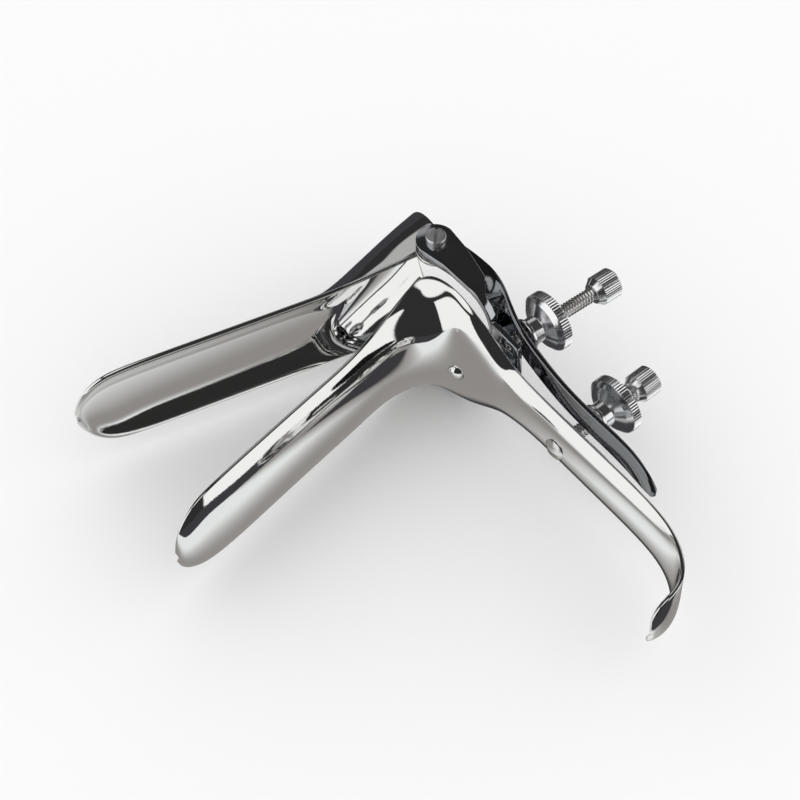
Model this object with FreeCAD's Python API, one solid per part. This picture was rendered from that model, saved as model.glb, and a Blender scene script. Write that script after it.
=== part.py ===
import FreeCAD, Part
import math
import os

# Bivalve speculum lying on its right side, blades standing open.
# +Z is the pivot axis, from the right side to the left, and the blades point along -X.
# +Y is up when the instrument is in use. Millimetres and degrees.
# Drafting is done about the pivot axis and the middle plane, and every part is then
# lifted so that the outer face of the right pivot screw head lies at Z = 0.

# Sheet and clearances
sheet = 1.5
armSheet = 2.0
stemSheet = 1.8
faceClearance = 0.1
shaftClearance = 0.06
slotClearance = 0.15
rimRound = 0.7

# Blades
bladeHalfWidth = 18.2
bladeDish = 6.3
bladeArc = 38.0
lowerBladeTip = -119.5
upperBladeTip = -120.2
tipLength = 17.0
openAngle = 15.3
upperRimHeight = 1.0

# Upper blade mouth
earHalfWidth = 22.0
earRadius = 6.2
archHeight = 27.0
archBack = 4.3

# Lower blade collar, handle and lip
collarHalfWidth = 25.0
handleHalfWidth = 10.25
handleDish = 4.2
handleFace = -10.7
lipHalfWidth = 10.6

# Pivots
pivotShank = 4.0
pivotHeadDiameter = 6.4
pivotHeadHeight = 2.3
pivotHeadRound = 0.6
pivotSlotWidth = 0.9
pivotSlotDepth = 1.0
pivotSlotTurn = 45.0
pivotEndStand = 0.6

# Yoke
armEndRadius = 6.25
armFront = -4.6
armBend = 12.0
armLow = -20.0
yokeBottom = -32.0
webHalfWidth = 19.0
webLow = -43.0
webFront = -4.2
stemHalfWidth = 6.0
stemFront = -7.5
stemEnd = -98.0
slotTop = -57.0
slotBottom = -87.5

# Screws, nuts and caps
threadDiameter = 4.76
heightScrewY = -68.3
heightHeadDiameter = 7.6
heightHeadHeight = 1.5
heightSlotWidth = 1.1
heightSlotDepth = 0.9
heightNutFace = 5.6
heightCapFace = 21.4
capDiameter = 9.8
capLength = 9.0
capNeck = 2.0
capWall = 2.0
capBevel = 0.8
nutDiameter = 19.5
nutDisc = 4.2
nutCone = 2.8
nutHub = 3.4
nutHubDiameter = 8.6
nutBevel = 1.0
washerDiameter = 10.4
washerHeight = 1.2

# Rivet through the neck
rivetX = -15.2
rivetY = -28.8
rivetWay = 47.0
rivetDiameter = 3.2
rivetHeadDiameter = 6.4
rivetHeadHeight = 1.6
rivetEndHeight = 0.7

# Tilt screw on its hinge pin
tiltPinX = -2.65
tiltPinY = -38.4
tiltScrewZ = 15.0
tiltScrewSlope = -3.5
tiltPinDiameter = 1.4
tiltEyeRadius = 1.6
tiltEyeWidth = 2.6
tiltNeck = 2.5
tiltLugRadius = 1.7
tiltLugWidth = 1.7
tiltNutFace = 5.5
tiltCapFace = 31.8

# Thumb lever
leverRing = 2.0
leverSheet = 1.9
leverWidth = 8.0
leverSlotLength = 7.0
leverSlotWidth = 5.2

# Sizes that follow
leftArmInner = earHalfWidth + faceClearance + leverRing + faceClearance
leftArmOuter = leftArmInner + armSheet
rightArmInner = -(earHalfWidth + faceClearance)
rightArmOuter = rightArmInner - armSheet
restLift = -rightArmOuter + pivotHeadHeight
threadRadius = threadDiameter / 2
webTop = yokeBottom + armSheet

V = FreeCAD.Vector
zAxis = V(0, 0, 1)
xAxis = V(1, 0, 0)


def save(name, shape):
    """Lift a part into the instrument's frame and write it."""
    lifted = shape.copy()
    lifted.translate(V(0, 0, restLift))
    lifted.exportStep("parts/" + name + ".step")
    print(name, "solids", len(lifted.Solids), "valid", lifted.isValid(), "volume", round(lifted.Volume, 1))


def cylinder(radius, start, direction, length):
    return Part.makeCylinder(radius, length, start, direction)


def inPlane(degrees):
    """Unit direction across the pivot axis."""
    return V(math.cos(math.radians(degrees)), math.sin(math.radians(degrees)), 0)


def knots(poles, degree):
    """Evenly spaced knots of a spline that starts and ends on its outer poles."""
    inner = poles - degree - 1
    values = [float(i) for i in range(inner + 2)]
    counts = [degree + 1] + [1] * inner + [degree + 1]
    return values, counts


def splineFace(grid, degreeU, degreeV):
    uKnots, uCounts = knots(len(grid), degreeU)
    vKnots, vCounts = knots(len(grid[0]), degreeV)
    surface = Part.BSplineSurface()
    surface.buildFromPolesMultsKnots(grid, uCounts, vCounts, uKnots, vKnots, False, False, degreeU, degreeV)
    return surface.toShape()


def sheetNormals(grid):
    """Unit normals of a grid of points, pointing to the side the sheet grows to."""
    rows = len(grid)
    columns = len(grid[0])
    normals = []
    for i in range(rows):
        row = []
        for j in range(columns):
            along = grid[min(i + 1, rows - 1)][j] - grid[max(i - 1, 0)][j]
            across = grid[i][min(j + 1, columns - 1)] - grid[i][max(j - 1, 0)]
            normal = across.cross(along)
            normal.normalize()
            row.append(normal)
        normals.append(row)
    return normals


def sheetSolid(grid, thickness):
    """Sheet metal of one thickness over a grid, with its long edges rounded."""
    normals = sheetNormals(grid)
    inner = [[p + n * thickness for p, n in zip(row, ns)] for row, ns in zip(grid, normals)]
    faces = [splineFace(grid, 3, 3), splineFace(inner, 3, 3)]
    last = len(grid) - 1
    for j, beside in ((0, 1), (len(grid[0]) - 1, len(grid[0]) - 2)):
        strip = []
        for i in range(len(grid)):
            out = grid[i][j] - grid[i][beside]
            out.normalize()
            swell = 0.0 if i in (0, last) else thickness * rimRound
            middle = (grid[i][j] + inner[i][j]) * 0.5 + out * swell
            strip.append([grid[i][j], middle, inner[i][j]])
        faces.append(splineFace(strip, 3, 2))
    for i in (0, last):
        faces.append(splineFace([grid[i], inner[i]], 1, 3))
    shell = Part.makeShell(faces)
    shell.sewShape()
    solid = Part.makeSolid(shell)
    if solid.Volume < 0:
        solid.reverse()
    return solid


def sectionRow(x, y, openDegrees, halfWidth, rise, arc, columns=11):
    """Points across one gutter section, from the left edge to the right one."""
    limit = math.radians(arc)
    row = []
    for j in range(columns):
        turn = limit * (1 - 2 * j / (columns - 1))
        side = halfWidth * math.sin(turn) / math.sin(limit)
        lift = rise * (1 - math.cos(turn)) / (1 - math.cos(limit))
        row.append(V(x, y, 0) + inPlane(openDegrees) * lift + zAxis * side)
    return row


def tipStations(tip, rimAt, openDegrees, dishSign):
    """Sections of a blunt rounded blade end, as x, y, open way, half width, rise and arc."""
    stations = []
    for turn in (10.0, 24.0, 40.0, 58.0, 76.0):
        angle = math.radians(turn)
        x = tip + tipLength * (1 - math.cos(angle))
        dish = bladeDish * 0.9 * math.sin(angle) ** 0.8
        halfWidth = bladeHalfWidth * math.sin(angle)
        stations.append((x, rimAt(x) - dishSign * dish, openDegrees, halfWidth, dish, bladeArc))
    return stations


def rivetPlace(distance):
    """Point on the rivet's axis, counted inwards from the neck's outer face."""
    return V(rivetX, rivetY, 0) + inPlane(rivetWay) * distance


def lowerRim(x):
    """Height of the lower blade's rim, a line that falls gently and bends to the tip."""
    return -9.3 + 0.108 * x - 0.00022 * x * x


def lowerBlade():
    """Blade, collar, handle and lip: one gutter that turns from the blade into the handle."""
    # Each station: x and y of the gutter's bottom, open way, half width, rise and arc.
    blade = tipStations(lowerBladeTip, lowerRim, 97.0, 1)
    for x in (-98.0, -84.0, -70.0, -57.0, -46.0):
        blade.append((x, lowerRim(x) - bladeDish, 96.0, bladeHalfWidth, bladeDish, bladeArc))
    collar = [
        (-37.5, -19.5, 93.0, bladeHalfWidth + 0.5, bladeDish + 0.3, 44.0),
        (-30.5, -18.9, 88.0, bladeHalfWidth + 2.3, 7.6, 55.0),
        (-25.0, -19.6, 75.0, collarHalfWidth - 2.2, 10.6, 70.0),
        (-20.5, -21.8, 58.0, collarHalfWidth, 18.4, 86.0),
        (-17.3, -25.0, 52.0, collarHalfWidth, 15.8, 88.0),
        (rivetX, rivetY, rivetWay, collarHalfWidth, 11.6, 88.0),
        (-13.8, -33.0, 38.0, collarHalfWidth - 2.6, 8.0, 85.0),
        (-12.7, -38.2, 20.0, collarHalfWidth - 7.0, 6.2, 80.0),
        (-12.0, -43.8, 12.0, handleHalfWidth + 2.6, 5.5, 72.0),
        (-11.4, -50.0, 6.0, handleHalfWidth + 0.7, 4.8, 60.0),
    ]
    handle = [(handleFace, y, 0.0, handleHalfWidth, handleDish, 48.0) for y in (-58.0, -70.0, -84.0, -98.0)]
    lip = [
        (handleFace - 0.2, -108.0, -1.0, handleHalfWidth, 3.8, 46.0),
        (handleFace - 1.1, -115.5, -8.0, handleHalfWidth, 2.8, 44.0),
        (-14.0, -122.0, -26.0, handleHalfWidth, 1.2, 42.0),
        (-17.8, -127.0, -50.0, lipHalfWidth, -0.6, 42.0),
        (-22.3, -129.6, -72.0, lipHalfWidth, -2.2, 42.0),
        (-26.6, -130.4, -84.0, lipHalfWidth - 1.4, -2.8, 42.0),
        (-29.4, -130.2, -90.0, lipHalfWidth - 4.2, -2.0, 42.0),
        (-30.6, -129.8, -94.0, 2.4, -0.5, 42.0),
    ]
    rows = [sectionRow(*station)[::-1] for station in blade + collar + handle + lip]
    body = sheetSolid(rows, sheet)
    body = body.cut(cylinder(threadRadius, V(handleFace - sheet, heightScrewY, 0), xAxis, 4 * sheet))
    return body.cut(cylinder(rivetDiameter / 2, rivetPlace(-2 * sheet), inPlane(rivetWay), 5 * sheet))


def upperBlade():
    """Blade and arched mouth with an ear at each pivot, drafted along X and then opened."""
    stations = tipStations(upperBladeTip, lambda x: upperRimHeight, -90.0, -1)
    for x in (-99.0, -84.0, -69.0, -56.0, -46.0):
        stations.append((x, upperRimHeight + bladeDish, -90.0, bladeHalfWidth, bladeDish, bladeArc))
    # Each mouth station: x, half width, rise and arc, from the waist to the back edge.
    mouth = (
        (-39.0, bladeHalfWidth, bladeDish + 0.6, 42.0),
        (-33.0, bladeHalfWidth + 0.2, 9.0, 52.0),
        (-27.0, bladeHalfWidth + 0.8, 12.0, 64.0),
        (-20.0, bladeHalfWidth + 1.8, 15.5, 76.0),
        (-13.0, earHalfWidth - 1.2, 18.9, 84.0),
        (-6.0, earHalfWidth - 0.2, 22.2, 90.0),
        (archBack - 4.5, earHalfWidth, 25.0, 90.0),
        (archBack, earHalfWidth, archHeight, 90.0),
    )
    for x, halfWidth, rise, arc in mouth:
        stations.append((x, upperRimHeight + rise, -90.0, halfWidth, rise, arc))
    body = sheetSolid([sectionRow(*station) for station in stations], sheet)
    for side in (1, -1):
        body = body.fuse(cylinder(earRadius, V(0, 0, side * (earHalfWidth - sheet)), zAxis * side, sheet))
    bore = cylinder(pivotShank / 2 + shaftClearance, V(0, 0, -2 * earHalfWidth), zAxis, 4 * earHalfWidth)
    body = body.cut(bore).removeSplitter()
    body.rotate(V(0, 0, 0), zAxis, -openAngle)
    return body


def leverSections():
    """Middle, width way and width of the lever at each turn of the strip."""
    top = earHalfWidth + faceClearance + leverRing / 2
    low = tiltScrewZ
    return [
        (V(0.4, -3.0, top), V(1, 0.1, 0), 11.0),
        (V(1.6, -9.0, top), V(1, 0.1, 0), 10.0),
        (V(2.4, -15.0, top), V(1, 0.1, 0), 9.2),
        (V(2.6, -20.0, top - 0.6), V(0.95, 0.1, 0.3), 8.8),
        (V(2.2, -26.0, top - 2.6), V(0.7, 0, 0.7), 8.4),
        (V(1.6, -32.0, low + 2.5), V(0.25, 0, 0.97), leverWidth),
        (V(1.0, -38.0, low), zAxis, leverWidth),
        (V(-1.2, -50.0, low), zAxis, leverWidth),
        (V(-2.8, -62.0, low), zAxis, leverWidth),
        (V(-3.2, -75.0, low), zAxis, leverWidth),
        (V(-2.9, -86.0, low), zAxis, leverWidth + 0.4),
        (V(-3.6, -94.0, low), zAxis, leverWidth + 0.2),
        (V(-4.9, -100.5, low), zAxis, leverWidth - 2.4),
        (V(-5.7, -103.5, low), zAxis, 2.2),
    ]


def thumbLever():
    """Strip that leaves the left ear, twists through a quarter turn and ends in a thumb rest."""
    rows = []
    for middle, way, width in leverSections():
        unit = V(way)
        unit.normalize()
        rows.append([middle + unit * (width * (0.5 - j / 4.0)) for j in range(5)])
    normals = sheetNormals(rows)
    outer = [[p - n * (leverSheet / 2) for p, n in zip(row, ns)] for row, ns in zip(rows, normals)]
    start = earHalfWidth + faceClearance
    body = sheetSolid(outer, leverSheet).fuse(cylinder(earRadius, V(0, 0, start), zAxis, leverRing))
    body = body.cut(cylinder(pivotShank / 2 + shaftClearance, V(0, 0, 0), zAxis, 2 * earHalfWidth))
    # The tilt screw passes through an oblong slot.
    reach = (leverSlotLength - leverSlotWidth) / 2
    depth = 5 * leverSheet
    cutter = Part.makeBox(depth, 2 * reach, leverSlotWidth, V(0, -reach, -leverSlotWidth / 2))
    for end in (-reach, reach):
        cutter = cutter.fuse(cylinder(leverSlotWidth / 2, V(0, end, 0), xAxis, depth))
    cutter.rotate(V(0, 0, 0), zAxis, tiltScrewSlope)
    cutter.translate(V(tiltPinX, tiltPinY, tiltScrewZ))
    return body.cut(cutter)


def plate(points, depthWay):
    """Flat piece over a closed outline of points."""
    return Part.Face(Part.makePolygon(points + points[:1])).extrude(depthWay)


def armPlate(inner, way):
    """One arm of the yoke: a rounded end on the pivot, narrowing towards the bend."""
    pts = [V(-armEndRadius, 0, inner), V(armFront, -9.0, inner), V(armFront + 0.2, armLow, inner),
           V(2.6, armLow, inner), V(5.2, -9.0, inner), V(armEndRadius, 0, inner)]
    edges = [Part.makeLine(pts[i], pts[i + 1]) for i in range(5)]
    edges.append(Part.Arc(pts[5], V(0, armEndRadius, inner), pts[0]).toShape())
    return Part.Face(Part.Wire(edges)).extrude(zAxis * (way * armSheet))


def bendArc(centreZ, radius, side):
    """Start, middle and end of a quarter turn from an arm to the bottom of the yoke."""
    half = radius * math.sin(math.radians(45))
    return [V(0, armLow, centreZ + side * radius), V(0, armLow - half, centreZ + side * half),
            V(0, armLow - radius, centreZ)]


def yokeBand():
    """Bent strip that joins the two arms, narrower at the bottom where the lever passes."""
    leftCentre = leftArmOuter - armBend
    rightCentre = rightArmOuter + armBend
    inside = armBend - armSheet
    leftOut = bendArc(leftCentre, armBend, 1)
    leftIn = bendArc(leftCentre, inside, 1)
    rightOut = bendArc(rightCentre, armBend, -1)
    rightIn = bendArc(rightCentre, inside, -1)
    edges = [Part.Arc(*arc).toShape() for arc in (leftOut, leftIn, rightOut, rightIn)]
    edges.append(Part.makeLine(leftOut[2], rightOut[2]))
    edges.append(Part.makeLine(leftIn[2], rightIn[2]))
    edges.append(Part.makeLine(leftOut[0], leftIn[0]))
    edges.append(Part.makeLine(rightOut[0], rightIn[0]))
    outline = Part.Wire(Part.__sortEdges__(edges))
    band = Part.Face(outline).extrude(V(3 * armEndRadius, 0, 0))
    band.translate(V(-armEndRadius, 0, 0))
    back = 2.6
    lowBack = -1.6
    side = plate([V(armFront + 0.2, armLow + 1, -40), V(webFront, yokeBottom - 1, -40),
                  V(lowBack, yokeBottom - 1, -40), V(lowBack, armLow - 5, -40), V(back, armLow, -40),
                  V(back, armLow + 1, -40)], V(0, 0, 80))
    return band.common(side)


def yokeStem():
    """Slotted stem that steps forward to the handle."""
    stepTop = webLow + 0.5
    stepEnd = webLow - 3.5
    slant = 0.6
    stem = plate([V(webFront, stepTop, -stemHalfWidth), V(stemFront, stepEnd, -stemHalfWidth),
                  V(stemFront, stemEnd, -stemHalfWidth), V(stemFront + stemSheet, stemEnd, -stemHalfWidth),
                  V(stemFront + stemSheet, stepEnd + slant, -stemHalfWidth),
                  V(webFront + stemSheet, stepTop + slant, -stemHalfWidth)], V(0, 0, 2 * stemHalfWidth))
    corners = []
    for edge in stem.Edges:
        box = edge.BoundBox
        if box.YMax < stemEnd + 0.01 and box.XLength > stemSheet / 2:
            corners.append(edge)
    stem = stem.makeFillet(stemHalfWidth - 0.4, corners)
    radius = threadRadius + slotClearance
    slot = Part.makeBox(4 * stemSheet, slotTop - slotBottom - 2 * radius, 2 * radius,
                        V(stemFront - stemSheet, slotBottom + radius, -radius))
    for y in (slotTop - radius, slotBottom + radius):
        slot = slot.fuse(cylinder(radius, V(stemFront - stemSheet, y, 0), xAxis, 4 * stemSheet))
    return stem.cut(slot)


def yoke():
    """Forked frame: two arms, a bend under the mouth, a web, a hinge for the tilt screw and the stem."""
    web = plate([V(webFront, webTop, webHalfWidth), V(webFront, webTop, -webHalfWidth + 2),
                 V(webFront, webLow + 4, -webHalfWidth + 4), V(webFront, webLow - 1, -stemHalfWidth),
                 V(webFront, webLow - 1, stemHalfWidth), V(webFront, webLow, webHalfWidth - 1)],
                V(stemSheet, 0, 0))
    body = armPlate(leftArmInner, 1).fuse([armPlate(rightArmInner, -1), yokeBand(), web, yokeStem()])
    half = tiltEyeWidth / 2 + faceClearance
    for z in (tiltScrewZ - half - tiltLugWidth, tiltScrewZ + half):
        lug = cylinder(tiltLugRadius, V(tiltPinX, tiltPinY, z), zAxis, tiltLugWidth)
        root = Part.makeBox(tiltPinX - webFront, 2 * tiltLugRadius, tiltLugWidth,
                            V(webFront, tiltPinY - tiltLugRadius, z))
        body = body.fuse([lug, root])
    reach = tiltEyeRadius + tiltLugRadius / 2
    window = Part.makeBox(4 * stemSheet, 2 * reach, 2 * half,
                          V(webFront - stemSheet, tiltPinY - reach, tiltScrewZ - half))
    body = body.cut(window)
    body = body.cut(cylinder(tiltPinDiameter / 2, V(tiltPinX, tiltPinY, 0), zAxis, 2 * tiltScrewZ))
    body = body.cut(cylinder(pivotShank / 2, V(0, 0, -2 * earHalfWidth), zAxis, 4 * earHalfWidth))
    return body.removeSplitter()


def pivotScrew(side):
    """Screw through an arm and an ear. The left head has a slot, the right one is plain."""
    outer = leftArmOuter if side > 0 else -rightArmOuter
    inner = earHalfWidth - sheet - pivotEndStand
    top = outer + pivotHeadHeight
    shank = cylinder(pivotShank / 2, zAxis * (side * inner), zAxis * side, outer - inner)
    head = cylinder(pivotHeadDiameter / 2, zAxis * (side * outer), zAxis * side, pivotHeadHeight)
    rim = []
    for edge in head.Edges:
        if abs(side * edge.BoundBox.ZMin - top) < 0.01 and edge.BoundBox.ZLength < 0.01:
            rim.append(edge)
    head = head.makeFillet(pivotHeadRound, rim)
    if side > 0:
        slot = Part.makeBox(2 * pivotHeadDiameter, pivotSlotWidth, 2 * pivotSlotDepth,
                            V(-pivotHeadDiameter, -pivotSlotWidth / 2, top - pivotSlotDepth))
        slot.rotate(V(0, 0, 0), zAxis, pivotSlotTurn)
        head = head.cut(slot)
    return shank.fuse(head).removeSplitter()


def revolve(points, start, way):
    """Turned piece: outline of (distance along the axis, radius), spun about the axis."""
    wire = Part.makePolygon([V(r, 0, s) for s, r in points + points[:1]])
    solid = Part.Face(wire).revolve(V(0, 0, 0), zAxis, 360)
    solid.Placement = FreeCAD.Placement(start, FreeCAD.Rotation(zAxis, way))
    return solid


def domeHead(diameter, height, seat, way, sunk):
    """Domed head whose rim lies on the seat and whose root is sunk below it."""
    rim = diameter / 2
    ball = (rim * rim + height * height) / (2 * height)
    sphere = Part.makeSphere(ball, seat - way * (ball - height))
    return cylinder(rim, seat - way * sunk, way, sunk + height).common(sphere)


def nutSolid(start, way):
    """Thumb nut: hub, cone and a bevelled disc, open right through for its screw."""
    bore = threadRadius + shaftClearance
    discStart = nutHub + nutCone
    total = discStart + nutDisc
    hub = nutHubDiameter / 2
    rim = nutDiameter / 2
    outline = [(0, bore), (0, hub), (nutHub, hub), (discStart - nutBevel, rim - 2 * nutBevel),
               (discStart, rim - nutBevel / 2), (discStart + nutBevel / 2, rim), (total - nutBevel, rim),
               (total, rim - nutBevel), (total, bore)]
    return revolve(outline, start, way)


def washerSolid(start, way):
    """Flat washer under a nut."""
    bore = threadRadius + shaftClearance
    rim = washerDiameter / 2
    return revolve([(0, bore), (0, rim), (washerHeight, rim), (washerHeight, bore)], start, way)


def capSolid(start, way):
    """End cap that keeps the nut on its screw."""
    rim = capDiameter / 2
    end = capLength - capWall
    outline = [(0, threadRadius), (0, rim - 2 * capBevel), (capNeck, rim), (capLength - capBevel, rim),
               (capLength, rim - capBevel), (capLength, 0), (end, 0), (end, threadRadius)]
    return revolve(outline, start, way)


def heightScrew():
    """Screw fixed in the handle with a domed slotted head on the patient's side."""
    seat = V(handleFace, heightScrewY, 0)
    shank = cylinder(threadRadius, seat, xAxis, heightCapFace + capLength - capWall - handleFace)
    head = domeHead(heightHeadDiameter, heightHeadHeight, seat, -xAxis, sheet / 2)
    slot = Part.makeBox(heightSlotDepth, 2 * heightHeadDiameter, heightSlotWidth,
                        seat - V(heightHeadHeight, heightHeadDiameter, heightSlotWidth / 2))
    return shank.fuse(head).cut(slot).removeSplitter()


def neckRivet():
    """Rivet through the neck, with a domed head on the patient's side."""
    way = inPlane(rivetWay)
    shank = cylinder(rivetDiameter / 2, rivetPlace(0), way, sheet + rivetEndHeight)
    outer = domeHead(rivetHeadDiameter, rivetHeadHeight, rivetPlace(0), -way, sheet / 3)
    inner = cylinder(rivetDiameter / 2 + rivetEndHeight, rivetPlace(sheet), way, rivetEndHeight)
    return shank.fuse([outer, inner]).removeSplitter()


def tiltPlace(distance):
    """Point on the tilt screw's axis, counted from its hinge pin."""
    return V(tiltPinX, tiltPinY, tiltScrewZ) + inPlane(tiltScrewSlope) * distance


def tiltScrew():
    """Screw with a flat eye, hung on the hinge pin of the yoke."""
    way = inPlane(tiltScrewSlope)
    eye = cylinder(tiltEyeRadius, tiltPlace(0) - zAxis * (tiltEyeWidth / 2), zAxis, tiltEyeWidth)
    shank = cylinder(threadRadius, tiltPlace(tiltNeck), way, tiltCapFace + capLength - capWall - tiltNeck)
    neck = Part.makeBox(tiltNeck + 1, 2 * tiltEyeRadius, tiltEyeWidth,
                        V(0, -tiltEyeRadius, -tiltEyeWidth / 2))
    neck.rotate(V(0, 0, 0), zAxis, tiltScrewSlope)
    neck.translate(tiltPlace(0))
    bore = cylinder(tiltPinDiameter / 2 + shaftClearance / 2, tiltPlace(0) - zAxis * tiltEyeWidth, zAxis,
                    2 * tiltEyeWidth)
    return eye.fuse([neck, shank]).cut(bore).removeSplitter()


def tiltPin():
    """Hinge pin across both lugs and the eye."""
    half = tiltEyeWidth / 2 + faceClearance + tiltLugWidth
    return cylinder(tiltPinDiameter / 2, tiltPlace(0) - zAxis * half, zAxis, 2 * half)


os.makedirs("parts", exist_ok=True)
tiltAxis = inPlane(tiltScrewSlope)
heightSeat = V(heightNutFace, heightScrewY, 0)
save("lower_blade", lowerBlade())
save("upper_blade", upperBlade())
save("thumb_lever", thumbLever())
save("yoke", yoke())
save("pivot_screw_left", pivotScrew(1))
save("pivot_screw_right", pivotScrew(-1))
save("height_screw", heightScrew())
save("height_washer", washerSolid(heightSeat, xAxis))
save("height_nut", nutSolid(heightSeat + xAxis * washerHeight, xAxis))
save("height_cap", capSolid(V(heightCapFace, heightScrewY, 0), xAxis))
save("neck_rivet", neckRivet())
save("tilt_screw", tiltScrew())
save("tilt_pin", tiltPin())
save("tilt_washer", washerSolid(tiltPlace(tiltNutFace), tiltAxis))
save("tilt_nut", nutSolid(tiltPlace(tiltNutFace + washerHeight), tiltAxis))
save("tilt_cap", capSolid(tiltPlace(tiltCapFace), tiltAxis))
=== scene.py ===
import math
import bmesh
import bpy
import numpy as np
from mathutils import Matrix, Vector


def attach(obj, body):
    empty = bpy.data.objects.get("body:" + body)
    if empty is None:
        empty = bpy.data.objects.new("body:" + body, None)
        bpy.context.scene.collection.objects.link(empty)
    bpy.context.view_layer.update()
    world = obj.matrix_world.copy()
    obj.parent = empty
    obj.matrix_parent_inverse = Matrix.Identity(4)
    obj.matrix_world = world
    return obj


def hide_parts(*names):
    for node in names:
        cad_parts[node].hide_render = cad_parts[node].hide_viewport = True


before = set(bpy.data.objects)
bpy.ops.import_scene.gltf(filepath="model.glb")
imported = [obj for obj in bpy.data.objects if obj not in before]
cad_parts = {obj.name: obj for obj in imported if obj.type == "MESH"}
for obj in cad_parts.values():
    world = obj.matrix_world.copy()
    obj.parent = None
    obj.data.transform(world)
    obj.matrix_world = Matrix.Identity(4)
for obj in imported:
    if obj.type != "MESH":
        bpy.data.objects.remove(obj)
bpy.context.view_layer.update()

mm = 0.001
lift = 26.4  # height of the middle plane over the rest face, mm
hair = 0.02  # radius that a turned outline keeps on its own axis, mm
zWay = Vector((0, 0, 1))
xWay = Vector((1, 0, 0))


# Node wiring

class Wire:  # a node socket that does arithmetic
    def __init__(self, tree, socket):
        self.tree = tree
        self.socket = socket

    def math(self, kind, other=0.0, swap=False):
        node = self.tree.nodes.new("ShaderNodeMath")
        node.operation = kind
        pair = (other, self) if swap else (self, other)
        for slot, value in zip(node.inputs, pair):
            feed(self.tree, slot, value)
        return Wire(self.tree, node.outputs[0])

    def beside(self):  # every output of the same node
        return [Wire(self.tree, socket) for socket in self.socket.node.outputs]

    def __add__(self, other):
        return self.math("ADD", other)

    def __radd__(self, other):
        return self.math("ADD", other)

    def __sub__(self, other):
        return self.math("SUBTRACT", other)

    def __rsub__(self, other):
        return self.math("SUBTRACT", other, True)

    def __mul__(self, other):
        return self.math("MULTIPLY", other)

    def __rmul__(self, other):
        return self.math("MULTIPLY", other)

    def __truediv__(self, other):
        return self.math("DIVIDE", other)

    def __rtruediv__(self, other):
        return self.math("DIVIDE", other, True)


def feed(tree, slot, value):
    if isinstance(value, Wire):
        tree.links.new(value.socket, slot)
    else:
        slot.default_value = value


def put(tree, kind, out=0, setup=None, **inputs):  # any node, its inputs by name
    node = tree.nodes.new(kind)
    for name, value in (setup or {}).items():
        setattr(node, name, value)
    for name, value in inputs.items():
        keys = (name, name.replace("_", " "))
        slot = next(s for s in node.inputs if s.enabled and (s.name in keys or s.identifier in keys))
        feed(tree, slot, value)
    return Wire(tree, node.outputs[out]) if node.outputs else None


def ramp(value, start, stop):  # smooth, 0 at start and 1 at stop
    return put(value.tree, "ShaderNodeMapRange", setup={"interpolation_type": "SMOOTHSTEP"}, Value=value,
               From_Min=start, From_Max=stop)


def between(value, low, high, soft):
    return ramp(value, low - soft, low + soft) * ramp(value, high + soft, high - soft)


# Objects and meshes

def inFrame(p):  # drafting millimetres to the frame's metres
    return p[0] * mm, p[1] * mm, (p[2] + lift) * mm


def linkNew(name, data):
    made = bpy.data.objects.new(name, data)
    bpy.context.scene.collection.objects.link(made)
    return made


def evaluated(holder):  # the mesh of an object with its modifiers or curve settings
    bpy.context.view_layer.update()
    return bpy.data.meshes.new_from_object(holder.evaluated_get(bpy.context.evaluated_depsgraph_get()))


def bake(piece, modifier):
    done = evaluated(piece)
    piece.modifiers.remove(modifier)
    old = piece.data
    piece.data = done
    bpy.data.meshes.remove(old)


def solidMesh(name, verts, faces, weld=0.0):
    mesh = bpy.data.meshes.new(name)
    mesh.from_pydata([inFrame(p) for p in verts], [], faces)
    work = bmesh.new()
    work.from_mesh(mesh)
    if weld:
        bmesh.ops.remove_doubles(work, verts=work.verts, dist=weld)
    bmesh.ops.recalc_face_normals(work, faces=work.faces)
    work.to_mesh(mesh)
    work.free()
    return mesh


def shade(mesh, sharp):  # smooth below the sharp angle
    mesh.shade_smooth()
    mesh.set_sharp_from_angle(angle=math.radians(sharp))


def declare(piece, body, replaces=()):
    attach(piece, body)
    if replaces:
        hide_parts(*replaces)


def carve(piece, verts, faces):  # cuts a closed tool out of a piece
    tool = solidMesh("carveTool", verts, faces)
    holder = linkNew("carveTool", tool)
    modifier = piece.modifiers.new("carve", "BOOLEAN")
    modifier.operation = "DIFFERENCE"
    modifier.solver = "EXACT"
    modifier.use_self = True
    modifier.object = holder
    bake(piece, modifier)
    bpy.data.objects.remove(holder)
    bpy.data.meshes.remove(tool)


def finishObject(name, chunks, material, body, replaces=(), cut=(), sharp=35):
    weld = 2e-6  # metres
    verts = []
    faces = []
    for points, loops in chunks:
        base = len(verts)
        verts += points
        faces += [tuple(i + base for i in loop) for loop in loops]
    piece = linkNew(name, solidMesh(name, verts, faces, weld))
    for tool in cut:
        carve(piece, *tool)
    piece.data.materials.clear()
    piece.data.materials.append(material)
    shade(piece.data, sharp)
    declare(piece, body, replaces)


# Sheet surfaces

sheetMesh = {"perSpan": 7, "across": 41, "edgeSteps": 7, "bulge": 0.35, "endReach": 1.1,
             "endTurns": (0.0, 22.0, 45.0, 67.0, 88.0)}


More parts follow.
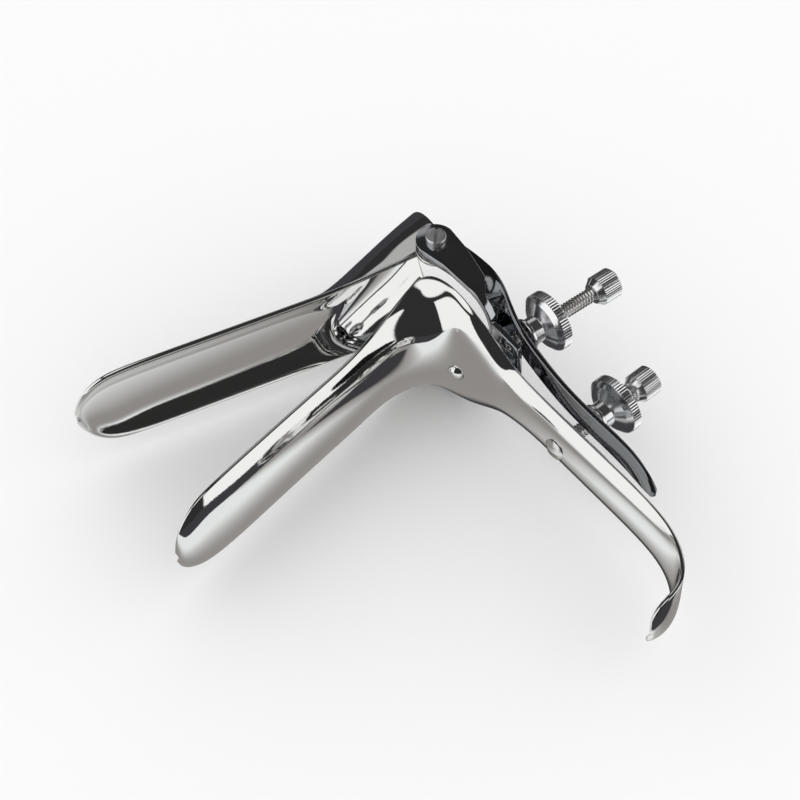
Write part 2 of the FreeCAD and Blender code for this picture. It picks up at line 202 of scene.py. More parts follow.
def basis(poles, samples):  # uniform cubic spline weights, clamped at both ends
    degree = 3
    inner = poles - degree - 1
    knots = [0.0] * degree + [float(i) for i in range(inner + 2)] + [float(inner + 1)] * degree
    rows = np.zeros((len(samples), poles))
    for k, u in enumerate(samples):
        u = min(u, inner + 1 - 1e-9)
        level = np.array([1.0 if knots[i] <= u < knots[i + 1] else 0.0 for i in range(len(knots) - 1)])
        for d in range(1, degree + 1):
            nextLevel = np.zeros(len(level) - 1)
            for i in range(len(nextLevel)):
                left = knots[i + d] - knots[i]
                right = knots[i + d + 1] - knots[i + 1]
                if left > 0:
                    nextLevel[i] += (u - knots[i]) / left * level[i]
                if right > 0:
                    nextLevel[i] += (knots[i + d + 1] - u) / right * level[i + 1]
            level = nextLevel
        rows[k] = level[:poles]
    return rows


def sheetPart(grid, thickness, across=sheetMesh["across"]):  # a spline sheet with rounded long edges
    grid = np.array(grid, float)
    rowCount, columns = grid.shape[:2]
    normals = np.zeros_like(grid)
    for i in range(rowCount):
        for j in range(columns):
            along = grid[min(i + 1, rowCount - 1)][j] - grid[max(i - 1, 0)][j]
            side = grid[i][min(j + 1, columns - 1)] - grid[i][max(j - 1, 0)]
            n = np.cross(side, along)
            normals[i][j] = n / np.linalg.norm(n)
    inner = grid + normals * thickness
    spans = rowCount - 3
    us = basis(rowCount, np.linspace(0, spans, spans * sheetMesh["perSpan"] + 1))
    vs = basis(columns, np.linspace(0, columns - 3, across))
    outFace = np.einsum("ur,rcx,vc->uvx", us, grid, vs)
    inFace = np.einsum("ur,rcx,vc->uvx", us, inner, vs)
    edges = []
    for j, beside in ((columns - 1, columns - 2), (0, 1)):
        out = grid[:, j] - grid[:, beside]
        out /= np.linalg.norm(out, axis=1)[:, None]
        out *= thickness * sheetMesh["bulge"]
        out[0] = out[-1] = 0
        edges.append(us @ out)
    turns = np.linspace(0, math.pi, sheetMesh["edgeSteps"] + 2)[1:-1]
    rings = []
    for i in range(len(us)):
        ring = list(outFace[i])
        for k, end in ((0, -1), (1, 0)):
            a, b = (outFace[i][end], inFace[i][end]) if k == 0 else (inFace[i][end], outFace[i][end])
            middle = (a + b) / 2
            ring += [middle + (a - middle) * math.cos(t) + edges[k][i] * math.sin(t) for t in turns]
            if k == 0:
                ring += list(inFace[i][::-1])
        rings.append(np.array(ring))
    return roundEnds(rings, thickness / 2, across)


def roundEnds(rings, radius, across):
    count = len(rings[0])
    edgeSteps = sheetMesh["edgeSteps"]
    half = across // 2
    total = 2 * (across + edgeSteps)
    partner = [(across - 1 - k + across + edgeSteps) % total for k in range(count)]  # the point on the other face
    capped = []
    for last in (False, True):
        order = range(len(rings) - 1, -1, -1) if last else range(len(rings))
        end = rings[-1] if last else rings[0]
        reach = sheetMesh["endReach"] * radius
        keep = next(i for i in order if np.linalg.norm(rings[i][half] - end[half]) > reach)
        away = end - rings[keep]
        away /= np.linalg.norm(away, axis=1)[:, None]
        middle = (end + end[partner]) / 2
        tip = []
        for turn in sheetMesh["endTurns"]:
            t = math.radians(turn)
            tip.append(middle + (end - middle) * math.cos(t) - away * radius * (1 - math.sin(t)))
        capped.append((keep, tip))
    (first, head), (stop, tail) = capped
    return stitch(head[::-1] + rings[first:stop + 1] + tail)


def stitch(rings):  # closed rings of points to verts and faces
    n = len(rings[0])
    verts = [tuple(p) for ring in rings for p in ring]
    faces = []
    for i in range(len(rings) - 1):
        for k in range(n):
            a = i * n + k
            b = i * n + (k + 1) % n
            faces.append((a, b, b + n, a + n))
    faces.append(tuple(range(n))[::-1])
    faces.append(tuple(range((len(rings) - 1) * n, len(rings) * n)))
    return verts, faces


def sectionRow(x, y, openDegrees, halfWidth, rise, arc, columns=11):  # one section across a gutter
    way = np.array([math.cos(math.radians(openDegrees)), math.sin(math.radians(openDegrees)), 0])
    limit = math.radians(arc)
    row = []
    for j in range(columns):
        turn = limit * (1 - 2 * j / (columns - 1))
        side = halfWidth * math.sin(turn) / math.sin(limit)
        up = rise * (1 - math.cos(turn)) / (1 - math.cos(limit))
        row.append(np.array([x, y, side]) + way * up)
    return row


# Turned, flat and bent pieces

def rounded(outline, radius, steps=4):  # a polygon with its corners rounded off
    out = []
    for i, p in enumerate(outline):
        p = Vector(p)
        before = Vector(outline[i - 1]) - p
        after = Vector(outline[(i + 1) % len(outline)]) - p
        turn = math.pi - before.angle(after, math.pi)
        cut = min(radius * math.tan(turn / 2), 0.45 * before.length, 0.45 * after.length)  # under half a side
        if cut < 1e-4:
            out.append(p)
            continue
        a = p + before.normalized() * cut
        b = p + after.normalized() * cut
        for k in range(steps + 1):
            t = k / steps
            out.append(a * (1 - t) ** 2 + p * 2 * t * (1 - t) + b * t * t)
    return out


def lathe(outline, start, way, radius=0.15, segments=96):  # (distance, radius) points turned about a way
    turn = zWay.rotation_difference(Vector(way)).to_matrix()
    verts = []
    for s, r in rounded(outline, radius):
        for k in range(segments):
            a = 2 * math.pi * k / segments
            verts.append(tuple(Vector(start) + turn @ Vector((r * math.cos(a), r * math.sin(a), s))))
    rows = len(verts) // segments
    faces = []
    for i in range(rows):
        here = i * segments
        there = (i + 1) % rows * segments
        for k in range(segments):
            nextK = (k + 1) % segments
            faces.append((here + k, here + nextK, there + nextK, there + k))
    return verts, faces


def band(stations, half, corner=0.35):  # bent strip: middle, normal, front and back of each station
    rings = []
    for middle, normal, front, back in stations:
        out = rounded([(front, -half), (back, -half), (back, half), (front, half)], corner, 3)
        rings.append([tuple(Vector(middle) + Vector(normal) * p[1] + xWay * p[0]) for p in out])
    return stitch(rings)


def flat(outlines, thickness, place, bevel=0.25):  # plate with holes, drawn in its own plane
    curve = bpy.data.curves.new("flatCurve", "CURVE")
    curve.dimensions = "2D"
    curve.fill_mode = "BOTH"
    curve.extrude = thickness / 2 - bevel
    curve.bevel_depth = bevel
    curve.bevel_resolution = 2
    curve.offset = -bevel
    for outline in outlines:
        spline = curve.splines.new("POLY")
        spline.points.add(len(outline) - 1)
        for point, p in zip(spline.points, outline):
            point.co = (p[0], p[1], 0, 1)
        spline.use_cyclic_u = True
    holder = linkNew("flatHolder", curve)
    mesh = evaluated(holder)
    verts = [tuple(place @ v.co) for v in mesh.vertices]
    faces = [tuple(p.vertices) for p in mesh.polygons]
    bpy.data.objects.remove(holder)
    bpy.data.curves.remove(curve)
    bpy.data.meshes.remove(mesh)
    return verts, faces


def arcPoints(x, y, radius, count, start, sweep):
    turns = [math.radians(start + sweep * k / count) for k in range(count + 1)]
    return [(x + radius * math.cos(t), y + radius * math.sin(t)) for t in turns]


def prism(outline, depth, place):  # drawn in Y and Z, its depth along X
    return stitch([[tuple(place @ Vector((x, *p))) for p in outline] for x in (-depth / 2, depth / 2)])


def rectangle(width, height):
    return [(-width / 2, -height / 2), (width / 2, -height / 2), (width / 2, height / 2), (-width / 2, height / 2)]


# Finishes

grain = {"cloudDetail": 3.0, "fineDetail": 4.0, "cloudShare": 0.6, "fineShare": 0.4, "depth": 0.0004}


def chromeMaterial(name, look):
    material = bpy.data.materials.new(name)
    material.use_nodes = True
    tree = material.node_tree
    shader = tree.nodes["Principled BSDF"]
    where = put(tree, "ShaderNodeTexCoord", out="Object")
    cloud = put(tree, "ShaderNodeTexNoise", Vector=where, Scale=look["cloudScale"], Detail=grain["cloudDetail"])
    fine = put(tree, "ShaderNodeTexNoise", Vector=where, Scale=look["fineScale"], Detail=grain["fineDetail"])
    feed(tree, shader.inputs["Metallic"], 1.0)
    feed(tree, shader.inputs["Base Color"], (*look["color"], 1))
    feed(tree, shader.inputs["Roughness"], look["rough"] + (cloud - 0.5) * look["roughVary"])
    bump = put(tree, "ShaderNodeBump", Strength=look["bump"], Distance=grain["depth"],
               Height=cloud * grain["cloudShare"] + fine * grain["fineShare"])
    feed(tree, shader.inputs["Normal"], bump)
    return material


sheetLook = {"color": (0.83, 0.83, 0.82), "rough": 0.04, "roughVary": 0.03, "cloudScale": 60.0, "fineScale": 900.0,
             "bump": 0.025}
stripLook = {"color": (0.50, 0.51, 0.53), "rough": 0.09, "roughVary": 0.06, "cloudScale": 90.0, "fineScale": 1200.0,
             "bump": 0.10}
# The lever is chrome like the rest; its dark base colour is a painted reflection of the shaded floor under the
# instrument.
leverDarkReflectionLook = {**stripLook, "color": (0.24, 0.245, 0.255)}
screwLook = {"color": (0.74, 0.73, 0.71), "rough": 0.24, "roughVary": 0.04, "cloudScale": 200.0, "fineScale": 2500.0,
             "bump": 0.02}
pivotLook = {"color": (0.85, 0.85, 0.84), "rough": 0.34, "roughVary": 0.10, "cloudScale": 400.0, "fineScale": 2500.0,
             "bump": 0.30}
nutLook = {"color": (0.88, 0.88, 0.89), "rough": 0.17, "roughVary": 0.05, "cloudScale": 200.0, "fineScale": 2500.0,
           "bump": 0.05}
sheetChrome = chromeMaterial("sheetChrome", sheetLook)
stripChrome = chromeMaterial("stripChrome", stripLook)
leverDarkReflectionChrome = chromeMaterial("leverDarkReflectionChrome", leverDarkReflectionLook)
screwChrome = chromeMaterial("screwChrome", screwLook)
pivotChrome = chromeMaterial("pivotChrome", pivotLook)
nutChrome = chromeMaterial("nutChrome", nutLook)
print("stage finishes")

# Lower blade, collar, handle and lip

blades = {"halfWidth": 18.2, "dish": 6.3, "arc": 38.0, "sheet": 1.5, "open": 15.3, "rim": 1.0, "lowerTip": -119.5,
          "upperTip": -120.2, "tipLength": 17.0, "tipInset": 0.25, "tipTurns": (6.0, 16.0, 28.0, 42.0, 58.0, 76.0),
          "tipDish": 0.9, "tipPower": 0.8, "sharp": 50}
collar = 25.0  # half width
handle = {"halfWidth": 10.25, "face": -10.7, "dish": 4.2, "lip": 10.6}


def lowerRim(x):
    return -9.3 + 0.108 * x - 0.00022 * x * x


def tipStations(tip, rimAt, openDegrees, sign):  # half an oval, a little inside the drawn end
    length = blades["tipLength"] - blades["tipInset"]
    out = []
    for turn in blades["tipTurns"]:
        a = math.radians(turn)
        x = tip + blades["tipInset"] + length * (1 - math.cos(a))
        dish = blades["dish"] * blades["tipDish"] * math.sin(a) ** blades["tipPower"]
        out.append((x, rimAt(x) - sign * dish, openDegrees, blades["halfWidth"] * math.sin(a), dish, blades["arc"]))
    return out


# Each station: x, y, direction of opening in degrees, half width, rise, arc in degrees.
lower = tipStations(blades["lowerTip"], lowerRim, 97.0, 1)
for x in (-98.0, -84.0, -70.0, -57.0, -46.0):
    lower.append((x, lowerRim(x) - blades["dish"], 96.0, blades["halfWidth"], blades["dish"], blades["arc"]))
lower += [
    (-37.5, -19.5, 93.0, blades["halfWidth"] + 0.5, blades["dish"] + 0.3, 44.0),
    (-30.5, -18.9, 88.0, blades["halfWidth"] + 2.3, 7.6, 55.0),
    (-25.0, -19.6, 75.0, collar - 2.2, 10.6, 70.0),
    (-20.5, -21.8, 58.0, collar, 18.4, 86.0),
    (-17.3, -25.0, 52.0, collar, 15.8, 88.0),
    (-15.2, -28.8, 47.0, collar, 11.6, 88.0),
    (-13.8, -33.0, 38.0, collar - 2.6, 8.0, 85.0),
    (-12.7, -38.2, 20.0, collar - 7.0, 6.2, 80.0),
    (-12.0, -43.8, 12.0, handle["halfWidth"] + 2.6, 5.5, 72.0),
    (-11.4, -50.0, 6.0, handle["halfWidth"] + 0.7, 4.8, 60.0),
]
for y in (-58.0, -70.0, -84.0, -98.0):
    lower.append((handle["face"], y, 0.0, handle["halfWidth"], handle["dish"], 48.0))
lower += [
    (handle["face"] - 0.2, -108.0, -1.0, handle["halfWidth"], 3.8, 46.0),
    (handle["face"] - 1.1, -115.5, -8.0, handle["halfWidth"], 2.8, 44.0),
    (-14.0, -122.0, -26.0, handle["halfWidth"], 1.2, 42.0),
    (-17.8, -127.0, -50.0, handle["lip"], -0.6, 42.0),
    (-22.3, -129.6, -72.0, handle["lip"], -2.2, 42.0),
    (-26.6, -130.4, -84.0, handle["lip"] - 1.4, -2.8, 42.0),
    (-29.1, -130.05, -89.0, handle["lip"] - 3.6, -2.05, 42.0),
    (-30.4, -129.8, -93.0, 4.6, -1.2, 42.0),
    (-30.8, -129.75, -94.0, 1.6, -0.3, 42.0),
]
lowerGrid = [sectionRow(*station)[::-1] for station in lower]
finishObject("lowerBladeSheet", [sheetPart(lowerGrid, blades["sheet"])], sheetChrome, "handle",
             ["lower_blade"], sharp=blades["sharp"])
print("stage lower blade")

# Upper blade

ear = {"bore": 0.05, "radius": 6.2, "sheet": 1.5, "start": 20.5, "edge": 0.5}
upper = tipStations(blades["upperTip"], lambda x: blades["rim"], -90.0, -1)
for x in (-99.0, -84.0, -69.0, -56.0, -46.0):
    upper.append((x, blades["rim"] + blades["dish"], -90.0, blades["halfWidth"], blades["dish"], blades["arc"]))
mouth = ((-39.0, 18.2, 6.9, 42.0), (-33.0, 18.4, 9.0, 52.0), (-27.0, 19.0, 12.0, 64.0), (-20.0, 20.0, 15.5, 76.0),
         (-13.0, 20.8, 18.9, 84.0), (-6.0, 21.8, 22.2, 90.0), (-0.2, 22.0, 25.0, 90.0), (4.3, 22.0, 27.0, 90.0))
for x, halfWidth, rise, arc in mouth:
    upper.append((x, blades["rim"] + rise, -90.0, halfWidth, rise, arc))
opened = Matrix.Rotation(math.radians(-blades["open"]), 3, "Z")
upperGrid = [[np.array(opened @ Vector(p)) for p in sectionRow(*station)] for station in upper]
earOutline = [(0, ear["bore"]), (0, ear["radius"]), (ear["sheet"], ear["radius"]), (ear["sheet"], ear["bore"])]
ears = [lathe(earOutline, (0, 0, side * ear["start"]), (0, 0, side), ear["edge"]) for side in (1, -1)]
finishObject("upperBladeSheet", [sheetPart(upperGrid, blades["sheet"])] + ears, sheetChrome, "upper_blade",
             ["upper_blade"], sharp=blades["sharp"])
print("stage upper blade")

# Thumb lever

heightStart = Vector((0, -68.3, 0))
tiltStart = Vector((-2.65, -38.4, 15.0))
tiltTurn = math.radians(-3.5)
tiltWay = Vector((math.cos(tiltTurn), math.sin(tiltTurn), 0))

lever = {"sheet": 1.9, "width": 8.0, "low": 15.0, "top": 23.1, "columns": 5, "across": 21, "sharp": 50, "slot": 5.2,
         "slotLength": 7.0, "slotAt": 4.75, "slotDepth": 9.5, "eyeStart": 22.1, "eyeSheet": 2.0, "eyeBore": 2.06,
         "eyeRadius": 6.2, "eyeEdge": 0.3}
leverRows = [  # middle, way across, width
    ((0.4, -3.0, lever["top"]), (1, 0.1, 0), 11.0),
    ((1.6, -9.0, lever["top"]), (1, 0.1, 0), 10.0),
    ((2.4, -15.0, lever["top"]), (1, 0.1, 0), 9.2),
    ((2.6, -20.0, lever["top"] - 0.6), (0.95, 0.1, 0.3), 8.8),
    ((2.2, -26.0, lever["top"] - 2.6), (0.7, 0, 0.7), 8.4),
    ((1.6, -32.0, lever["low"] + 2.5), (0.25, 0, 0.97), lever["width"]),
    ((1.0, -38.0, lever["low"]), (0, 0, 1), lever["width"]),
    ((-1.2, -50.0, lever["low"]), (0, 0, 1), lever["width"]),
    ((-2.8, -62.0, lever["low"]), (0, 0, 1), lever["width"]),
    ((-3.2, -75.0, lever["low"]), (0, 0, 1), lever["width"]),
    ((-2.9, -86.0, lever["low"]), (0, 0, 1), lever["width"] + 0.4),
    ((-3.6, -94.0, lever["low"]), (0, 0, 1), lever["width"] + 0.2),
    ((-4.9, -100.5, lever["low"]), (0, 0, 1), lever["width"] - 2.4),
    ((-5.7, -103.5, lever["low"]), (0, 0, 1), 2.2),
]
lastColumn = lever["columns"] - 1
leverGrid = []
for middle, way, width in leverRows:
    unit = np.array(way) / np.linalg.norm(way)
    leverGrid.append([np.array(middle) + unit * width * (0.5 - j / lastColumn) for j in range(lever["columns"])])
rawGrid = np.array(leverGrid)
for i in range(len(leverGrid)):
    for j in range(lever["columns"]):
        along = rawGrid[min(i + 1, len(rawGrid) - 1)][j] - rawGrid[max(i - 1, 0)][j]
        n = np.cross(rawGrid[i][min(j + 1, lastColumn)] - rawGrid[i][max(j - 1, 0)], along)
        leverGrid[i][j] = rawGrid[i][j] - n / np.linalg.norm(n) * lever["sheet"] / 2
eyeOutline = [(0, lever["eyeBore"]), (0, lever["eyeRadius"]), (lever["eyeSheet"], lever["eyeRadius"]),
              (lever["eyeSheet"], lever["eyeBore"])]
leverEye = lathe(eyeOutline, (0, 0, lever["eyeStart"]), (0, 0, 1), lever["eyeEdge"])
reach = (lever["slotLength"] - lever["slot"]) / 2
oblong = arcPoints(-reach, 0, lever["slot"] / 2, 16, 90, 180) + arcPoints(reach, 0, lever["slot"] / 2, 16, -90, 180)
leverSlot = Matrix.Translation(tiltStart + tiltWay * lever["slotAt"]) @ Matrix.Rotation(tiltTurn, 4, "Z")
finishObject("thumbLeverStrip", [sheetPart(leverGrid, lever["sheet"], lever["across"]), leverEye], leverDarkReflectionChrome,
             "upper_blade", ["thumb_lever"], [prism(oblong, lever["slotDepth"], leverSlot)],
             sharp=lever["sharp"])
print("stage thumb lever")

# Yoke

arms = {"radius": 6.25, "low": -20.0, "bend": 12.0, "sheet": 2.0, "left": 26.2, "right": -24.1, "sharp": 40,
        "front": ((0, 9, 20, 33), (-6.25, -4.6, -4.4, -4.2)),
        "back": ((0, 9, 20, 25, 33), (6.25, 5.2, 2.6, -1.6, -1.6))}  # depths below the pivot, edge at each
web = {"front": -4.2, "sheet": 1.8, "half": 19.0, "top": -30.0, "low": -43.0, "corner": 1.2,
       "window": (-38.4, 15.0), "windowHalf": (2.45, 1.4)}
stem = {"half": 6.0, "front": -7.5, "end": -98.0, "slotTop": -57.0, "slotBottom": -87.5, "slot": 2.53}
lug = {"bore": 0.7, "radius": 1.7, "length": 1.7, "starts": (11.9, 16.4), "edge": 0.2}


def armWidth(y):  # front and back of the strip at a height on an arm
    if y > 0:
        half = math.sqrt(max(arms["radius"] ** 2 - y * y, 0.01))
        return -half, half
    return float(np.interp(-y, *arms["front"])), float(np.interp(-y, *arms["back"]))


def armStations(outer, side):  # round end, straight arm, quarter bend into the web
    middle = outer - side * arms["sheet"] / 2
    heights = [arms["radius"] * math.cos(math.radians(a)) for a in range(6, 90, 7)]
    heights += [-float(i) for i in range(20)]
    out = [((0, y, middle), (0, 0, side), *armWidth(y)) for y in heights]
    centre = outer - side * arms["bend"]
    radius = arms["bend"] - arms["sheet"] / 2
    for degrees in range(0, 91, 5):
        a = math.radians(degrees)
        y = arms["low"] - radius * math.sin(a)
        place = (0, y, centre + side * radius * math.cos(a))
        out.append((place, (0, -math.sin(a), side * math.cos(a)), *armWidth(y)))
    return out


leftStations = armStations(arms["left"], 1)
rightStations = armStations(arms["right"], -1)
yokeBand = band(leftStations + rightStations[::-1], arms["sheet"] / 2)
acrossX = Matrix(((0, 0, 1, 0), (1, 0, 0, 0), (0, 1, 0, 0), (0, 0, 0, 1)))  # drawing (Y, Z) to space
webOutline = rounded([(web["top"], web["half"]), (web["top"], -web["half"] + 2), (web["low"] + 4, -web["half"] + 4),
                      (web["low"] - 1, -stem["half"]), (web["low"] - 1, stem["half"]),
                      (web["low"], web["half"] - 1)], web["corner"])
(windowY, windowZ), (tall, wide) = web["window"], web["windowHalf"]
window = [(windowY - tall, windowZ - wide), (windowY + tall, windowZ - wide), (windowY + tall, windowZ + wide),
          (windowY - tall, windowZ + wide)]
webPlace = Matrix.Translation((web["front"] + web["sheet"] / 2, 0, 0)) @ acrossX
webPlate = flat([webOutline, window], web["sheet"], webPlace)
stemOutline = [(web["low"] - 2, stem["half"]), (web["low"] - 2, -stem["half"])]
stemOutline += arcPoints(stem["end"] + stem["half"], 0, stem["half"], 24, 270, -180)
slotOutline = arcPoints(stem["slotTop"] - stem["slot"], 0, stem["slot"], 16, 90, -180)
slotOutline += arcPoints(stem["slotBottom"] + stem["slot"], 0, stem["slot"], 16, 270, -180)
stemPlace = Matrix.Translation((stem["front"] + web["sheet"] / 2, 0, 0)) @ acrossX
stemPlate = flat([stemOutline, slotOutline], web["sheet"], stemPlace)
step = flat([[(web["front"], web["low"] + 0.5), (stem["front"], web["low"] - 3.5), (stem["front"], web["low"] - 4.5),
              (stem["front"] + web["sheet"], web["low"] - 4.5), (stem["front"] + web["sheet"], web["low"] - 2.9),
              (web["front"] + web["sheet"], web["low"] + 1.1)]], 2 * stem["half"], Matrix.Identity(4))
lugOutline = [(0, lug["bore"]), (0, lug["radius"]), (lug["length"], lug["radius"]), (lug["length"], lug["bore"])]
lugs = [lathe(lugOutline, (tiltStart.x, tiltStart.y, z), (0, 0, 1), lug["edge"], 48) for z in lug["starts"]]
finishObject("yokeFrame", [yokeBand, webPlate, stemPlate, step] + lugs, stripChrome, "yoke",
             ["yoke"], sharp=arms["sharp"])

# Pivot screws

pivot = {"start": 19.9, "shank": 2.0, "head": 3.2, "height": 2.3, "edge": 0.5, "slotWidth": 0.95, "slotDepth": 1.1,
         "slotLength": 12.0, "slotTurn": 45.0}
for side, outer, name, node in ((1, arms["left"], "pivotScrewLeft", "pivot_screw_left"),
                                (-1, -arms["right"], "pivotScrewRight", "pivot_screw_right")):
    seat = outer - pivot["start"]
    top = seat + pivot["height"]
    outline = [(0, hair), (0, pivot["shank"]), (seat, pivot["shank"]), (seat, pivot["head"]), (top, pivot["head"]),
               (top, hair)]
    chunk = lathe(outline, (0, 0, side * pivot["start"]), (0, 0, side), pivot["edge"])
    cut = []
    if side > 0:  # the right head is the rest face and stays whole
        place = Matrix.Translation((0, 0, outer + pivot["height"]))
        place = place @ Matrix.Rotation(math.radians(pivot["slotTurn"]), 4, "Z")
        cut.append(prism(rectangle(pivot["slotWidth"], 2 * pivot["slotDepth"]), pivot["slotLength"], place))
    finishObject(name, [chunk], pivotChrome, "yoke", [node], cut)
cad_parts["tilt_pin"].data.materials.clear()
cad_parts["tilt_pin"].data.materials.append(screwChrome)
print("stage yoke and pivots")

# Screws, nuts and caps

screwSize = {"radius": 2.38, "core": 1.98, "pitch": 1.058, "tooth": 0.42, "edge": 0.05, "segments": 48}
nutSize = {"bore": 2.45, "hub": 4.3, "hubLength": 3.4, "cone": 2.8, "disc": 4.2, "radius": 9.75, "recess": 4.0,
           "washer": 5.2, "washerHeight": 1.2, "washerEdge": 0.3, "gap": 0.03, "edge": 0.18, "segments": 128,
           "knurls": 64, "ridge": 0.30, "sharp": 25}
capSize = {"bore": 2.0, "boreDepth": 1.0, "radius": 4.9, "length": 9.0, "neck": 2.0, "top": 0.9, "rim": 0.2,
           "edge": 0.25, "knurls": 42, "ridge": 0.26, "sharp": 25}
ridgeSharp = 30


def newGroup(name, inputs):
    tree = bpy.data.node_groups.new(name, "GeometryNodeTree")
    tree.interface.new_socket("Geometry", in_out="OUTPUT", socket_type="NodeSocketGeometry")
    sockets = {}
    for label, kind in inputs:
        sockets[label] = tree.interface.new_socket(label, in_out="INPUT", socket_type="NodeSocket" + kind).identifier
    return tree, sockets, dict(zip(sockets, put(tree, "NodeGroupInput").beside()))


def closeGroup(tree, geometry, wires):
    moved = put(tree, "GeometryNodeTransform", Geometry=geometry, Translation=wires["Place"], Rotation=wires["Turn"])
    real = put(tree, "GeometryNodeRealizeInstances", Geometry=moved)
    dressed = put(tree, "GeometryNodeSetMaterial", Geometry=real, Material=wires["Material"])
    put(tree, "NodeGroupOutput", Geometry=dressed)


placing = [("Place", "Vector"), ("Turn", "Vector"), ("Material", "Material")]
ridgeTree, ridgeSockets, wires = newGroup("ridgeRing", [("Count", "Int"), ("Radius", "Float"), ("Ridge", "Float"),
                                                        ("Length", "Float"), ("Middle", "Float")] + placing)
dots = put(ridgeTree, "GeometryNodeMeshCircle", Vertices=wires["Count"], Radius=wires["Radius"])
bar = put(ridgeTree, "GeometryNodeMeshCylinder", Vertices=4, Radius=wires["Ridge"], Depth=wires["Length"])
angle = put(ridgeTree, "GeometryNodeInputIndex") * (2 * math.pi) / wires["Count"]
spin = put(ridgeTree, "ShaderNodeCombineXYZ", Z=angle)
raised = put(ridgeTree, "ShaderNodeCombineXYZ", Z=wires["Middle"])
bars = put(ridgeTree, "GeometryNodeInstanceOnPoints", Points=dots, Instance=bar, Rotation=spin)
closeGroup(ridgeTree, put(ridgeTree, "GeometryNodeTransform", Geometry=bars, Translation=raised), wires)
threadTree, threadSockets, wires = newGroup("threadHelix", [("Length", "Float"), ("Pitch", "Float"),
                                                            ("Radius", "Float"), ("Tooth", "Float")] + placing)
helix = put(threadTree, "GeometryNodeCurveSpiral", Resolution=40, Rotations=wires["Length"] / wires["Pitch"],
            Start_Radius=wires["Radius"], End_Radius=wires["Radius"], Height=wires["Length"])
profile = put(threadTree, "GeometryNodeCurvePrimitiveCircle", Resolution=4, Radius=wires["Tooth"])
facing = put(threadTree, "GeometryNodeSetCurveNormal", setup={"mode": "Z_UP"}, Curve=helix)  # keeps the tooth straight
closeGroup(threadTree, put(threadTree, "GeometryNodeCurveToMesh", Curve=facing, Profile_Curve=profile), wires)


def repeat(name, tree, sockets, values, start, way, material, body):
    holder = linkNew(name, bpy.data.meshes.new(name))
    modifier = holder.modifiers.new("repeat", "NODES")
    modifier.node_group = tree
    placed = {"Place": inFrame(start), "Turn": tuple(zWay.rotation_difference(way).to_euler()), "Material": material}
    for label, value in {**values, **placed}.items():
        modifier[sockets[label]] = value
    bake(holder, modifier)
    shade(holder.data, ridgeSharp)
    declare(holder, body)


def thread(name, start, way, length, body):
    values = {"Length": length * mm, "Pitch": screwSize["pitch"] * mm, "Tooth": screwSize["tooth"] * mm,
              "Radius": (screwSize["radius"] - screwSize["tooth"]) * mm}
    repeat(name, threadTree, threadSockets, values, start, way, screwChrome, body)


def knurl(name, size, length, middle, start, way, body):
    values = {"Count": size["knurls"], "Radius": (size["radius"] - size["ridge"]) * mm, "Ridge": size["ridge"] * mm,
              "Length": length * mm, "Middle": middle * mm}
    repeat(name, ridgeTree, ridgeSockets, values, start, way, nutChrome, body)


def nut(name, seat, way, body, node, washerBody, washerNode):
    bore = nutSize["bore"]
    height = nutSize["washerHeight"]
    washer = [(0, bore), (0, nutSize["washer"]), (height, nutSize["washer"]), (height, bore)]
    finishObject(name + "Washer", [lathe(washer, seat, way, nutSize["washerEdge"])], nutChrome, washerBody,
                 [washerNode])
    start = seat + way * height
    cone = nutSize["hubLength"] + nutSize["cone"]
    total = cone + nutSize["disc"]
    rim = nutSize["radius"] - nutSize["ridge"]
    gap = nutSize["gap"]  # keeps the nut clear of its washer
    recess = nutSize["recess"]
    outline = [(gap, bore), (gap, nutSize["hub"]), (nutSize["hubLength"], nutSize["hub"]), (cone - 1.0, rim - 1.6),
               (cone, rim - 0.5), (cone + 0.5, rim), (total - 1.0, rim), (total, rim - 1.2), (total, recess + 0.4),
               (total - 0.35, recess), (total - 0.35, bore)]
    finishObject(name + "Body", [lathe(outline, start, way, nutSize["edge"], nutSize["segments"])], nutChrome, body,
                 [node], sharp=nutSize["sharp"])
    knurl(name + "Knurl", nutSize, nutSize["disc"] - 1.3, cone + nutSize["disc"] / 2 - 0.25, start, way, body)


def cap(name, start, way, body, node):
    rim = capSize["radius"] - capSize["rim"]
    bore, depth, length, neck, top = (capSize[key] for key in ("bore", "boreDepth", "length", "neck", "top"))
    outline = [(0, bore), (0, rim - 1.4), (neck, rim), (length - top, rim), (length, rim - top), (length, hair),
               (depth, hair), (depth, bore)]
    finishObject(name + "Body", [lathe(outline, start, way, capSize["edge"])], nutChrome, body, [node],
                 sharp=capSize["sharp"])
    knurl(name + "Knurl", capSize, length - neck - 1.0, (neck + length - top) / 2, start, way, body)


def dome(rim, height, sunk, steps=12):
    ball = (rim * rim + height * height) / (2 * height)
    out = [(-sunk, hair), (-sunk, rim)]
    limit = math.asin(min(rim / ball, 1.0))
    for k in range(steps + 1):
        a = limit * (1 - k / steps)
        out.append((ball * math.cos(a) - (ball - height), max(ball * math.sin(a), hair)))
    return out


heightSize = {"shank": 39.0, "threadAt": 3.0, "thread": 29.5, "nutAt": 5.6, "capAt": 21.4, "dome": (3.8, 1.5, 0.75),
              "slotAt": 1.5, "slotWidth": 1.1, "slotLength": 16.0, "slotDepth": 1.8}
headSeat = Vector((handle["face"], heightStart.y, 0))
headSlot = prism(rectangle(heightSize["slotLength"], heightSize["slotWidth"]), heightSize["slotDepth"],
                 Matrix.Translation(headSeat - xWay * heightSize["slotAt"]))
core = [(0, hair), (0, screwSize["core"]), (heightSize["shank"], screwSize["core"]), (heightSize["shank"], hair)]
shank = lathe(core, headSeat, xWay, screwSize["edge"], screwSize["segments"])
finishObject("heightScrewShank", [shank, lathe(dome(*heightSize["dome"]), headSeat, -xWay, screwSize["edge"])],
             screwChrome, "handle", ["height_screw"], [headSlot])
thread("heightScrewThread", headSeat + xWay * heightSize["threadAt"], xWay, heightSize["thread"], "handle")
nut("heightNut", heightStart + xWay * heightSize["nutAt"], xWay, "height_nut", "height_nut", "height_washer",
    "height_washer")
